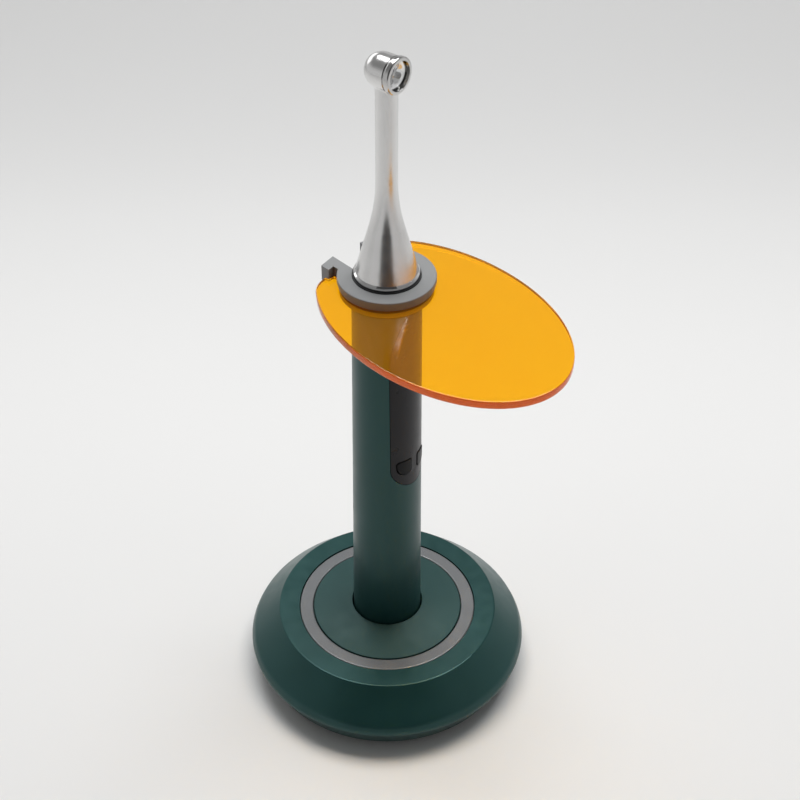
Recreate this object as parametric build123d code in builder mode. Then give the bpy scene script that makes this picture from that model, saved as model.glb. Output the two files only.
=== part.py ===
from build123d import *
import math
import os

os.makedirs("parts", exist_ok=True)

# Pen-shaped dental curing light standing in its round charging base, in millimetres.
# The origin is the middle of the foot on the table, +Z is up and the lens looks along -Y.

# Clearances
slide_gap = 0.08          # a part that turns or slides on a round seat
button_gap = 0.3          # round a button in its opening
panel_gap = 0.18          # round the panel in the handle
key_gap = 0.12            # round the key rib in the handset's foot
seat_gap = 0.1            # between the handset's foot and the floor of its socket
turn_gap = 0.2            # under the head, so that it turns freely
fit_gap = 0.05            # between pieces that are pressed or screwed together
trim_gap = 0.25           # shadow line on each side of the silver ring
slot_gap = 0.2            # between the filter plate's slot and the clip's tabs
hook_gap = 0.12           # between the plate's rear edge and the tabs' hooks
lip_end_gap = 0.15        # between the panel's lip and the nose
screw_gap = 0.2           # round a screw in the floor plate
socket_gap = 0.3          # round the handle in the base

# Charging base
foot_height = 1.8
foot_radius = 43.0
foot_chamfer = 0.3
skirt_height = 3.0        # bottom edge of the cover above the table
skirt_inset = 4.3         # from the widest edge in to the cover's bottom edge
base_edge_radius = 51.5   # corner of the widest edge before it is rounded
base_edge_height = 11.6
base_edge_round = 2.6
base_shoulder_inset = 1.3     # from the widest edge in to the foot of the slope
base_shoulder_height = 14.5
base_shoulder_round = 4.0
base_rim_radius = 40.2
base_rim_round = 0.7
base_height = 25.25
base_wall = 2.4
trim_outer_radius = 32.6
trim_inner_radius = 27.7
trim_height = 1.65
trim_sink = 0.15          # the ring lies this much under the top face
trim_edge_round = 0.5
ledge_width = 12.5        # flat under the ring and the disc
ledge_thickness = 2.0
floor_plate_height = 2.4
floor_plate_inset = 2.45
board_lift = 0.6
board_height = 1.6
board_radius = 16.0
board_tongue_width = 16.0
board_inset = 5.4         # end of the board's tongue behind the flat round the inlet
cup_wall = 2.1
cup_floor = 1.8
socket_edge_chamfer = 0.2
disc_edge_round = 0.3
disc_crown = 2.3          # the disc rises this much from its rim to the socket's mouth
disc_bulge = 0.25         # how far that rise is rounded
ballast_inner_radius = 19.0
ballast_outer_radius = 33.2
ballast_height = 8.0
ballast_slot_gap = 1.0    # beside the board's tongue, where the ring is open
post_circle_radius = 37.0
post_radius = 3.2
post_count = 4
post_start_angle = 45.0
post_bore_depth = 9.0
screw_radius = 1.2
screw_head_radius = 2.8
screw_length = 9.0
screw_head_angle = 90.0
key_width = 2.0
key_height = 2.6
key_depth = 1.4

# Charging contacts
pin_spacing = 8.0
pin_radius = 1.0
pin_rise = 1.2            # a pin's tip above the socket's floor
pin_tail = 1.7            # a pin's lower end below the socket's floor
pin_guide_radius = 7.5
pad_radius = 1.6
pad_height = 1.0

# Rear power inlet
inlet_width = 9.0
inlet_height = 3.2
inlet_depth = 7.6
inlet_wall = 0.35
inlet_gap = 0.15
inlet_recess = 0.8        # the sleeve's mouth behind the flat round it
inlet_inset = 2.1         # from the widest edge in to that flat
inlet_flat_width = 14.0
inlet_flat_height = 6.8
inlet_tongue_width = 6.6
inlet_tongue_height = 0.7

# Handle
handle_foot_radius = 12.65
handle_top_radius = 11.27
handle_length = 156.5
handle_wall = 1.3
handle_edge_chamfer = 0.3
end_cap_height = 3.0
end_cap_chamfer = 0.6
end_plug_height = 6.7
seal_groove_height = 1.6
seal_groove_depth = 1.5
seal_groove_lift = 2.7
frame_clearance = 0.2

# Front panel: half width, the centre of its round foot, and where its arch starts
panel_half_width = 8.5
panel_foot_height = 102.0
panel_arch_height = 145.0
panel_arch_radius = 38.0
panel_lap = 1.2           # the panel's lip behind the handle's wall
panel_lip = 0.8

# Buttons: corners of the one on the +X side as distance from the middle,
# height over the buttons' middle line, and corner radius
button_lift = 1.0         # the buttons' middle line above the centre of the panel's foot
button_corners = [(1.6, 2.6, 0.6), (6.9, 2.4, 1.1), (6.3, -3.7, 3.0), (1.6, -3.3, 1.2)]
button_rise = 0.25
button_edge_round = 0.22
button_travel = 0.4
button_lip = 0.8
button_lip_height = 0.65
button_blank = 2.0        # the turned blank reaches this far past a button

# Board, display and switches in the handle
control_board_front = 5.6
control_board_height = 1.2
control_board_half_width = 5.9
control_board_drop = 6.0      # below the centre of the panel's foot
control_board_rise = 3.0      # above the start of the panel's arch
display_height = 1.8
display_width = 9.6
display_drop = 27.0       # foot of the display below the start of the panel's arch
display_length = 26.0
switch_centre = 4.1
switch_size = 3.0
switch_height = 0.7
plunger_radius = 0.9
plunger_height = 0.8
board_screw_head_radius = 1.7
board_screw_head_height = 0.9
board_screw_low_inset = 2.0
board_screw_high_inset = 2.0

# Cell and its carrier
cell_radius = 9.2
cell_headroom = 8.9       # between the cell's end wall and the buttons' lips
cell_nub_radius = 3.5
cell_nub_height = 1.5
cradle_gap = 0.2
cradle_wall = 1.05
cradle_floor = 0.8
bulkhead_height = 1.5
tray_height = 1.5
contact_radius = 5.0
contact_tip_radius = 2.0
contact_plate_height = 0.4

# Black nose above the handle
nose_radius = 9.6
nose_height = 10.9
spigot_length = 14.8
spindle_radius = 6.0
spindle_length = 9.5
band_radius = 10.9
band_foot_radius = 11.25
band_foot_height = 2.3
band_lift = 0.3
band_height = 10.4
socket_plug_radius = 4.55
socket_flange_radius = 6.5
socket_flange_height = 1.0
jack_radius = 1.75
jack_length = 7.9
jack_end_gap = 0.5

# Head
bead_radius = 10.48
bead_height = 1.2
bead_chamfer = 0.5
bead_bore = 8.2
cone_foot_radius = 9.93
cone_height = 23.9
neck_radius = 3.4
neck_bend_radius = 62.0
cone_wall = 1.2
head_axis_height = 69.1   # lens axis above the head's foot
ball_radius = 5.33
ball_setback = 1.5        # centre of the ball behind the neck
ball_front = 2.3          # front face of the ball
neck_blend = 1.2
head_bore_radius = 4.75
head_bore_back = 0.8
bezel_radius = 5.7
bezel_front = 4.9
bezel_flange = 2.0
bezel_groove_radius = 5.05
bezel_round = 0.55
lens_radius = 4.5
lens_sink = 0.6
lens_rim = 0.9
lens_dome = 0.45
reflector_wall = 0.35
reflector_mouth_radius = 3.75
reflector_throat_radius = 1.7
reflector_depth = 2.1
led_board_height = 1.0
led_size = 2.0
led_height = 0.5
lead_radius = 1.9
plug_flange_height = 2.4

# Orange filter plate and the ring that clips it on
shield_turn = -8.6        # the filter in the photograph is turned a little on the nose
shield_twist = -2.7       # the oval against the clip's tabs
shield_shift = 0.46       # the oval's centre beside the line of the tabs
shield_reach = 24.16      # the oval's centre in front of the nose
shield_half_width = 31.5
shield_half_length = 47.8
shield_thickness = 2.6
shield_edge_round = 0.4
shield_back = 15.3
shield_corner_round = 10.0
shield_bore_radius = 12.05
slot_corner_round = 0.6
ring_radius = 15.73
ring_step_radius = 15.4
ring_step_height = 1.3
ring_top_height = 3.1
ring_base_radius = 15.0
ring_base_height = 1.7
ring_core_wall = 0.92
ring_round = 0.35
ring_lift = 0.2
tab_inner = 5.8
tab_waist = 9.35
tab_outer = 11.85
tab_notch = 14.7
tab_end = 19.0
tab_slant = 13.0          # how far the tabs' ends lean back towards their outer corners
tab_height = 5.4

# Heights and radii that follow from those sizes
board_foot = foot_height + floor_plate_height + board_lift
board_top = board_foot + board_height
skirt_radius = base_edge_radius - skirt_inset
base_shoulder_radius = base_edge_radius - base_shoulder_inset
inlet_face = base_edge_radius - inlet_inset
board_reach = inlet_face - board_inset
socket_floor = board_top + cup_floor
socket_radius = handle_foot_radius + socket_gap
cup_radius = socket_radius + cup_wall
disc_radius = trim_inner_radius - trim_gap
seat_radius = trim_outer_radius + trim_gap
seat_height = base_height - trim_sink - trim_height
inlet_centre = board_top + inlet_height / 2
handset_foot = socket_floor + seat_gap
tube_foot = handset_foot + end_cap_height
tube_top = handset_foot + handle_length
head_foot = tube_top + nose_height + turn_gap
cone_foot = head_foot + bead_height
button_height = panel_foot_height + button_lift
button_foot = button_height - max(-z for _, z, _ in button_corners)
button_top = button_height + max(z for _, z, _ in button_corners)
control_board_foot = panel_foot_height - control_board_drop
control_board_top = panel_arch_height + control_board_rise
display_foot = panel_arch_height - display_drop
lens_axis = head_foot + head_axis_height
band_foot = tube_top + band_lift
ring_foot = band_foot + band_foot_height + ring_lift
shield_foot = ring_foot + ring_base_height
shield_top = shield_foot + shield_thickness
ring_bore = band_radius + slide_gap
shield_plane = Plane.XY.rotated((0, 0, shield_turn))


def handle_radius(height):
    """Outside of the tapered handle at a height above the table."""
    share = (height - handset_foot) / handle_length
    return handle_foot_radius + (handle_top_radius - handle_foot_radius) * share


def handle_bore(height):
    return handle_radius(height) - handle_wall


def turned(points, mode=Mode.ADD):
    """A turned solid, from its half section as (radius, height) points."""
    with BuildSketch(Plane.XZ) as section:
        with BuildLine():
            Polyline(*points, close=True)
        make_face()
    revolve(section.sketch, axis=Axis.Z, mode=mode)


def ring(foot, top, outer, inner=0.0, mode=Mode.ADD):
    """A straight round step between two heights."""
    with BuildSketch(Plane.XY.offset(foot)) as section:
        Circle(outer)
        if inner:
            Circle(inner, mode=Mode.SUBTRACT)
    extrude(section.sketch, amount=top - foot, mode=mode)


def block(low, high, mode=Mode.ADD):
    """A rectangular block between two opposite corners."""
    width, depth, height = (b - a for a, b in zip(low, high))
    with BuildSketch(Plane.XY.offset(low[2])) as section:
        with Locations((low[0] + width / 2, low[1] + depth / 2)):
            Rectangle(width, depth)
    extrude(section.sketch, amount=height, mode=mode)


def panel_outline(grow=0.0):
    """Front view of the panel: round foot, straight sides and a pointed arch."""
    half = panel_half_width + grow
    radius = panel_arch_radius + grow
    arch = math.degrees(math.acos((radius - half) / radius))
    middle = half * math.sqrt(0.5)
    with BuildSketch(Plane.XZ) as outline:
        with BuildLine():
            foot = (0, panel_foot_height - half)
            side = (half, panel_foot_height)
            ThreePointArc(foot, (middle, panel_foot_height - middle), side)
            Line(side, (half, panel_arch_height))
            JernArc((half, panel_arch_height), (0, 1), radius, arch)
            mirror(about=Plane.YZ)
        make_face()
    return outline.sketch


def button_outline(side, grow=0.0):
    """Front view of one button, on the side given by the sign."""
    with BuildSketch(Plane.XZ) as outline:
        with BuildLine():
            Polyline(*[(side * x, button_height + z) for x, z, _ in button_corners], close=True)
        make_face()
        for x, z, corner in button_corners:
            fillet(outline.vertices().sort_by_distance((side * x, button_height + z))[0], corner)
        if grow:
            offset(amount=grow)
    return outline.sketch


# Charging base

# The cover is one hollow moulding: a leaning skirt under a rounded edge, a long slope
# up to the rim, and a sunk ledge inside the rim for the silver ring and the disc.
post_top = base_height - base_wall
with BuildPart() as base_cover:
    with BuildSketch(Plane.XZ) as cover_section:
        with BuildLine():
            Polyline(
                (0, skirt_height),
                (skirt_radius, skirt_height),
                (base_edge_radius, base_edge_height),
                (base_shoulder_radius, base_shoulder_height),
                (base_rim_radius, base_height),
                (0, base_height),
                close=True,
            )
        make_face()
        fillet(cover_section.vertices().sort_by(Axis.X)[-1], base_edge_round)
        shoulder = (base_shoulder_radius, base_shoulder_height)
        fillet(cover_section.vertices().sort_by_distance(shoulder)[0], base_shoulder_round)
        fillet(cover_section.vertices().group_by(Axis.Y)[-1].sort_by(Axis.X)[-1], base_rim_round)
        offset(amount=-base_wall, kind=Kind.INTERSECTION, mode=Mode.SUBTRACT)
        ledge_foot = seat_height - ledge_thickness
        with Locations((0, ledge_foot)):
            Rectangle(seat_radius + base_wall, base_height - ledge_foot, align=(Align.MIN, Align.MIN))
        with Locations((0, seat_height)):
            Rectangle(
                seat_radius, base_height, align=(Align.MIN, Align.MIN), mode=Mode.SUBTRACT
            )
        Rectangle(
            seat_radius - ledge_width, base_height, align=(Align.MIN, Align.MIN), mode=Mode.SUBTRACT
        )
        Rectangle(
            skirt_radius - floor_plate_inset + fit_gap,
            skirt_height + base_wall + fit_gap,
            align=(Align.MIN, Align.MIN),
            mode=Mode.SUBTRACT,
        )
    revolve(axis=Axis.Z)
    post_foot = foot_height + floor_plate_height
    with BuildSketch(Plane.XY.offset(post_foot)):
        with PolarLocations(post_circle_radius, post_count, start_angle=post_start_angle):
            Circle(post_radius)
    extrude(amount=post_top - post_foot + fit_gap)
    with BuildSketch(Plane.XY.offset(post_foot)):
        with PolarLocations(post_circle_radius, post_count, start_angle=post_start_angle):
            Circle(screw_radius + fit_gap)
    extrude(amount=post_bore_depth, mode=Mode.SUBTRACT)
    with BuildSketch(Plane.XZ.offset(-inlet_face)):
        with Locations((0, inlet_centre)):
            Rectangle(inlet_flat_width, inlet_flat_height)
    extrude(amount=-base_edge_radius, mode=Mode.SUBTRACT)
    with BuildSketch(Plane.XZ.offset(-board_reach)):
        with Locations((0, inlet_centre)):
            SlotOverall(inlet_width + 2 * inlet_gap, inlet_height + 2 * inlet_gap)
    extrude(amount=-base_edge_radius, mode=Mode.SUBTRACT)
base_cover.part.label = "base_cover"
export_step(base_cover.part, "parts/base_cover.step")

# The disc inside the ring and the cup under it are one moulding. A key rib at the
# foot of the cup fits the slot in the handset, so the contacts always meet.
mouth_height = base_height + disc_crown
with BuildPart() as socket_cup:
    with BuildSketch(Plane.XZ) as disc_section:
        with BuildLine():
            SagittaArc((disc_radius, base_height), (socket_radius, mouth_height), disc_bulge)
            Polyline(
                (socket_radius, mouth_height),
                (0, mouth_height),
                (0, seat_height),
                (disc_radius, seat_height),
                (disc_radius, base_height),
            )
        make_face()
        rim = disc_section.vertices().sort_by_distance((disc_radius, base_height))[0]
        fillet(rim, disc_edge_round)
    revolve(axis=Axis.Z)
    ring(board_top, seat_height, cup_radius)
    ring(socket_floor, mouth_height, socket_radius, mode=Mode.SUBTRACT)
    ring(board_top, socket_floor, pin_guide_radius + fit_gap, mode=Mode.SUBTRACT)
    mouth = socket_cup.edges().group_by(Axis.Z)[-1].sort_by(SortBy.RADIUS)[0]
    chamfer(mouth, socket_edge_chamfer)
    block(
        (-key_width / 2, socket_radius - key_depth, socket_floor),
        (key_width / 2, socket_radius + cup_wall / 2, socket_floor + key_height),
    )
socket_cup.part.label = "socket_cup"
export_step(socket_cup.part, "parts/socket_cup.step")

with BuildPart() as trim_ring:
    ring(seat_height, seat_height + trim_height, trim_outer_radius, trim_inner_radius)
    fillet(trim_ring.edges().group_by(Axis.Z)[-1], trim_edge_round)
trim_ring.part.label = "trim_ring"
export_step(trim_ring.part, "parts/trim_ring.step")

floor_plate_radius = skirt_radius - floor_plate_inset
with BuildPart() as base_plate:
    ring(foot_height, foot_height + floor_plate_height, floor_plate_radius)
    with BuildSketch(Plane.XY.offset(foot_height + floor_plate_height)):
        Circle(board_radius)
        Circle(pin_guide_radius, mode=Mode.SUBTRACT)
    extrude(amount=board_lift)
    with Locations(Plane((0, 0, foot_height), z_dir=(0, 0, -1))):
        with PolarLocations(post_circle_radius, post_count, start_angle=post_start_angle):
            CounterSinkHole(
                screw_radius + screw_gap,
                screw_head_radius + screw_gap / 2,
                counter_sink_angle=screw_head_angle,
            )
base_plate.part.label = "base_plate"
export_step(base_plate.part, "parts/base_plate.step")

with BuildPart() as rubber_foot:
    ring(0, foot_height, foot_radius)
    chamfer(rubber_foot.edges().group_by(Axis.Z)[0], foot_chamfer)
rubber_foot.part.label = "rubber_foot"
export_step(rubber_foot.part, "parts/rubber_foot.step")

ballast_foot = foot_height + floor_plate_height
with BuildPart() as ballast_ring:
    ring(ballast_foot, ballast_foot + ballast_height, ballast_outer_radius, ballast_inner_radius)
    slot_half = board_tongue_width / 2 + ballast_slot_gap
    block(
        (-slot_half, 0, ballast_foot),
        (slot_half, 2 * ballast_outer_radius, ballast_foot + ballast_height),
        mode=Mode.SUBTRACT,
    )
ballast_ring.part.label = "ballast_ring"
export_step(ballast_ring.part, "parts/ballast_ring.step")

with BuildPart() as charge_board:
    ring(board_foot, board_top, board_radius)
    block(
        (-board_tongue_width / 2, 0, board_foot), (board_tongue_width / 2, board_reach, board_top)
    )
    with BuildSketch(Plane.XY.offset(board_foot)):
        with GridLocations(pin_spacing, 0, 2, 1):
            Circle(pin_radius + inlet_gap)
    extrude(amount=board_height, mode=Mode.SUBTRACT)
charge_board.part.label = "charge_board"
export_step(charge_board.part, "parts/charge_board.step")

with BuildPart() as pin_housing:
    ring(board_top, socket_floor, pin_guide_radius)
    with BuildSketch(Plane.XY.offset(board_top)):
        with GridLocations(pin_spacing, 0, 2, 1):
            Circle(pin_radius + fit_gap)
    extrude(amount=cup_floor, mode=Mode.SUBTRACT)
pin_housing.part.label = "pin_housing"
export_step(pin_housing.part, "parts/pin_housing.step")

for name, side in (("charge_pin_left", -1), ("charge_pin_right", 1)):
    with BuildPart() as charge_pin:
        with BuildSketch(Plane.XY.offset(socket_floor - pin_tail)):
            with Locations((side * pin_spacing / 2, 0)):
                Circle(pin_radius)
        extrude(amount=pin_tail + pin_rise)
        fillet(charge_pin.edges().group_by(Axis.Z)[-1], pin_radius / 2)
    charge_pin.part.label = name
    export_step(charge_pin.part, f"parts/{name}.step")

# The inlet is an oblong metal sleeve with a flat tongue in the middle of its mouth.
inlet_back = inlet_face - inlet_recess - inlet_depth
with BuildPart() as power_inlet:
    with BuildSketch(Plane.XZ.offset(-inlet_back)):
        with Locations((0, inlet_centre)):
            SlotOverall(inlet_width, inlet_height)
    extrude(amount=-inlet_depth)
    with BuildSketch(Plane.XZ.offset(-inlet_back - 2 * inlet_wall)):
        with Locations((0, inlet_centre)):
            SlotOverall(inlet_width - 2 * inlet_wall, inlet_height - 2 * inlet_wall)
            Rectangle(inlet_tongue_width, inlet_tongue_height, mode=Mode.SUBTRACT)
    extrude(amount=-inlet_depth, mode=Mode.SUBTRACT)
power_inlet.part.label = "power_inlet"
export_step(power_inlet.part, "parts/power_inlet.step")

head_depth = screw_head_radius - screw_radius
with BuildPart() as base_screws:
    with BuildSketch(Plane.XY.offset(foot_height + fit_gap)):
        with PolarLocations(post_circle_radius, post_count, start_angle=post_start_angle):
            Circle(screw_head_radius)
    extrude(amount=head_depth, taper=screw_head_angle / 2)
    with BuildSketch(Plane.XY.offset(foot_height + fit_gap)):
        with PolarLocations(post_circle_radius, post_count, start_angle=post_start_angle):
            Circle(screw_radius)
    extrude(amount=screw_length)
base_screws.part.label = "base_screws"
export_step(base_screws.part, "parts/base_screws.step")

# Handset

panel_low = panel_foot_height - panel_half_width - 2 * panel_lap
spigot_foot = tube_top - spigot_length
with BuildPart() as handle_tube:
    turned(
        [
            (handle_bore(tube_foot), tube_foot),
            (handle_radius(tube_foot), tube_foot),
            (handle_radius(tube_top), tube_top),
            (handle_bore(tube_top), tube_top),
        ]
    )
    chamfer(handle_tube.edges().group_by(Axis.Z)[-1].sort_by(SortBy.RADIUS)[-1], handle_edge_chamfer)
    extrude(panel_outline(), amount=2 * handle_foot_radius, mode=Mode.SUBTRACT)
handle_tube.part.label = "handle_tube"
export_step(handle_tube.part, "parts/handle_tube.step")

# The panel is a piece of the handle's own cone, cut to its front outline. Behind the
# wall it has a lip all round, which ends under the nose's spigot.
lip_top = spigot_foot - lip_end_gap
with BuildPart() as panel_edge:
    turned(
        [
            (handle_bore(panel_low) - panel_lip, panel_low),
            (handle_bore(panel_low) - fit_gap, panel_low),
            (handle_bore(lip_top) - fit_gap, lip_top),
            (handle_bore(lip_top) - panel_lip, lip_top),
        ]
    )
    extrude(panel_outline(panel_lap), amount=2 * handle_foot_radius, mode=Mode.INTERSECT)

with BuildPart() as front_panel:
    turned(
        [
            (handle_bore(panel_low) - panel_lip, panel_low),
            (handle_radius(panel_low), panel_low),
            (handle_radius(tube_top), tube_top),
            (handle_bore(tube_top), tube_top),
            (handle_bore(lip_top), lip_top),
            (handle_bore(lip_top) - panel_lip, lip_top),
        ]
    )
    extrude(panel_outline(-panel_gap), amount=2 * handle_foot_radius, mode=Mode.INTERSECT)
    add(panel_edge.part)
    for side in (-1, 1):
        extrude(button_outline(side, button_gap), amount=2 * handle_foot_radius, mode=Mode.SUBTRACT)
front_panel.part.label = "front_panel"
export_step(front_panel.part, "parts/front_panel.step")

# Each button is a slice of the same cone that stands a little proud, with a lip that
# keeps it behind the panel and a pocket over its switch.
lip_outer = handle_bore(button_height) - panel_lip - 2 * slide_gap
lip_inner = lip_outer - button_lip_height
button_low = button_foot - button_blank
button_high = button_top + button_blank
plunger_tip = control_board_front + switch_height + plunger_height
for name, side in (("power_button", -1), ("mode_button", 1)):
    with BuildPart() as button_back:
        ring(button_low, button_high, lip_outer, lip_inner)
        extrude(button_outline(side, button_lip), amount=2 * handle_foot_radius, mode=Mode.INTERSECT)
    with BuildPart() as button:
        turned(
            [
                (lip_inner, button_low),
                (handle_radius(button_low) + button_rise, button_low),
                (handle_radius(button_high) + button_rise, button_high),
                (lip_inner, button_high),
            ]
        )
        extrude(button_outline(side), amount=2 * handle_foot_radius, mode=Mode.INTERSECT)
        fillet(button.faces().sort_by(Axis.Y)[0].edges(), button_edge_round)
        add(button_back.part)
        with BuildSketch(Plane.XZ):
            with Locations((side * switch_centre, button_height)):
                Circle(plunger_radius + button_lip)
        extrude(amount=plunger_tip + button_travel + slide_gap, mode=Mode.SUBTRACT)
    button.part.label = name
    export_step(button.part, f"parts/{name}.step")

board_back = control_board_front - control_board_height
with BuildPart() as control_board:
    block(
        (-control_board_half_width, -control_board_front, control_board_foot),
        (control_board_half_width, -board_back, control_board_top),
    )
control_board.part.label = "control_board"
export_step(control_board.part, "parts/control_board.step")

with BuildPart() as display_module:
    block(
        (-display_width / 2, -control_board_front - display_height, display_foot),
        (display_width / 2, -control_board_front, display_foot + display_length),
    )
display_module.part.label = "display_module"
export_step(display_module.part, "parts/display_module.step")

with BuildPart() as button_switches:
    with BuildSketch(Plane.XZ.offset(control_board_front)):
        with Locations((-switch_centre, button_height), (switch_centre, button_height)):
            Rectangle(switch_size, switch_size)
    extrude(amount=switch_height)
    with BuildSketch(Plane.XZ.offset(control_board_front + switch_height)):
        with Locations((-switch_centre, button_height), (switch_centre, button_height)):
            Circle(plunger_radius)
    extrude(amount=plunger_height)
button_switches.part.label = "button_switches"
export_step(button_switches.part, "parts/button_switches.step")

screw_heights = [control_board_foot + board_screw_low_inset, control_board_top - board_screw_high_inset]
with BuildPart() as board_screws:
    with BuildSketch(Plane.XZ.offset(control_board_front)):
        with Locations(*[(0, height) for height in screw_heights]):
            Circle(board_screw_head_radius)
    extrude(amount=board_screw_head_height)
board_screws.part.label = "board_screws"
export_step(board_screws.part, "parts/board_screws.step")

# The carrier holds the cell in a half-round cradle between two end walls, and the
# board on a flat tray above it.
plug_top = tube_foot + end_plug_height
cradle_foot = plug_top + frame_clearance
cell_foot = cradle_foot + cradle_floor + contact_plate_height + contact_tip_radius
bulkhead_foot = button_foot - button_lip - cell_headroom - bulkhead_height
cell_top = bulkhead_foot - frame_clearance
cell_length = cell_top - cell_nub_height - cell_foot
cradle_inner = cell_radius + cradle_gap
cradle_outer = cradle_inner + cradle_wall
with BuildPart() as inner_frame:
    ring(cradle_foot, bulkhead_foot + bulkhead_height, cradle_outer)
    ring(cradle_foot + cradle_floor, bulkhead_foot, cradle_inner, mode=Mode.SUBTRACT)
    block(
        (-2 * cradle_outer, -2 * cradle_outer, cradle_foot + cradle_floor),
        (2 * cradle_outer, 0, bulkhead_foot),
        mode=Mode.SUBTRACT,
    )
    block(
        (-control_board_half_width, -board_back, bulkhead_foot),
        (control_board_half_width, -board_back + tray_height, control_board_top + slide_gap),
    )
inner_frame.part.label = "inner_frame"
export_step(inner_frame.part, "parts/inner_frame.step")

with BuildPart() as battery_cell:
    ring(cell_foot, cell_foot + cell_length, cell_radius)
    fillet(battery_cell.edges(), cell_nub_height / 2)
    ring(cell_foot + cell_length, cell_top, cell_nub_radius)
battery_cell.part.label = "battery_cell"
export_step(battery_cell.part, "parts/battery_cell.step")

contact_foot = cradle_foot + cradle_floor
with BuildPart() as battery_contact:
    ring(contact_foot, contact_foot + contact_plate_height, contact_radius)
    with BuildSketch(Plane.XY.offset(contact_foot + contact_plate_height)):
        Circle(contact_radius - contact_plate_height)
    with BuildSketch(Plane.XY.offset(cell_foot)):
        Circle(contact_tip_radius)
    loft()
battery_contact.part.label = "battery_contact"
export_step(battery_contact.part, "parts/battery_contact.step")

groove_foot = tube_foot + seal_groove_lift
plug_radius = handle_bore(plug_top) - 2 * fit_gap
groove_floor = plug_radius - seal_groove_depth
pad_foot = socket_floor + pin_rise + fit_gap
with BuildPart() as end_cap:
    turned(
        [
            (0, handset_foot),
            (handle_radius(handset_foot), handset_foot),
            (handle_radius(tube_foot), tube_foot),
            (0, tube_foot),
        ]
    )
    chamfer(end_cap.edges().group_by(Axis.Z)[0], end_cap_chamfer)
    ring(tube_foot, plug_top, plug_radius)
    ring(groove_foot, groove_foot + seal_groove_height, plug_radius, groove_floor, mode=Mode.SUBTRACT)
    with BuildSketch(Plane.XY.offset(handset_foot)):
        with GridLocations(pin_spacing, 0, 2, 1):
            Circle(pad_radius + fit_gap)
    extrude(amount=pad_foot + pad_height - handset_foot, mode=Mode.SUBTRACT)
    block(
        (-key_width / 2 - key_gap, socket_radius - key_depth - key_gap, handset_foot),
        (key_width / 2 + key_gap, socket_radius, tube_foot),
        mode=Mode.SUBTRACT,
    )
end_cap.part.label = "end_cap"
export_step(end_cap.part, "parts/end_cap.step")

seal_radius = (handle_bore(groove_foot) - fit_gap - groove_floor) / 2
with BuildPart() as end_seal:
    with BuildSketch(Plane.XZ):
        with Locations((groove_floor + seal_radius, groove_foot + seal_groove_height / 2)):
            Circle(seal_radius - fit_gap)
    revolve(axis=Axis.Z)
end_seal.part.label = "end_seal"
export_step(end_seal.part, "parts/end_seal.step")

with BuildPart() as contact_pads:
    with BuildSketch(Plane.XY.offset(pad_foot)):
        with GridLocations(pin_spacing, 0, 2, 1):
            Circle(pad_radius)
    extrude(amount=pad_height)
contact_pads.part.label = "contact_pads"
export_step(contact_pads.part, "parts/contact_pads.step")

# The nose is pushed into the top of the handle and carries the soft band outside
# and the head's spindle inside.
nose_top = tube_top + nose_height
spigot_radius = handle_bore(tube_top) - 2 * fit_gap
spindle_foot = head_foot - spindle_length
bearing_foot = spindle_foot - jack_end_gap
with BuildPart() as nose_collar:
    ring(spigot_foot, tube_top, spigot_radius)
    ring(tube_top, nose_top, nose_radius)
    chamfer(nose_collar.edges().group_by(Axis.Z)[-1], turn_gap)
    ring(bearing_foot, nose_top, spindle_radius + fit_gap, mode=Mode.SUBTRACT)
    ring(spigot_foot, bearing_foot, socket_plug_radius + fit_gap, mode=Mode.SUBTRACT)
nose_collar.part.label = "nose_collar"
export_step(nose_collar.part, "parts/nose_collar.step")

jack_foot = spindle_foot - jack_length
with BuildPart() as head_socket:
    ring(spigot_foot - socket_flange_height, spigot_foot, socket_flange_radius)
    ring(spigot_foot, bearing_foot, socket_plug_radius)
    ring(jack_foot - jack_end_gap, bearing_foot, jack_radius + fit_gap, mode=Mode.SUBTRACT)
head_socket.part.label = "head_socket"
export_step(head_socket.part, "parts/head_socket.step")

# Soft band on the nose, with a step at its foot that the filter's ring rests on.
band_top = band_foot + band_height
with BuildPart() as grip_band:
    ring(band_foot, band_foot + band_foot_height, band_foot_radius)
    ring(band_foot, band_top, band_radius)
    ring(band_foot, band_top, nose_radius + slide_gap, mode=Mode.SUBTRACT)
grip_band.part.label = "grip_band"
export_step(grip_band.part, "parts/grip_band.step")

# Head

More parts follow.
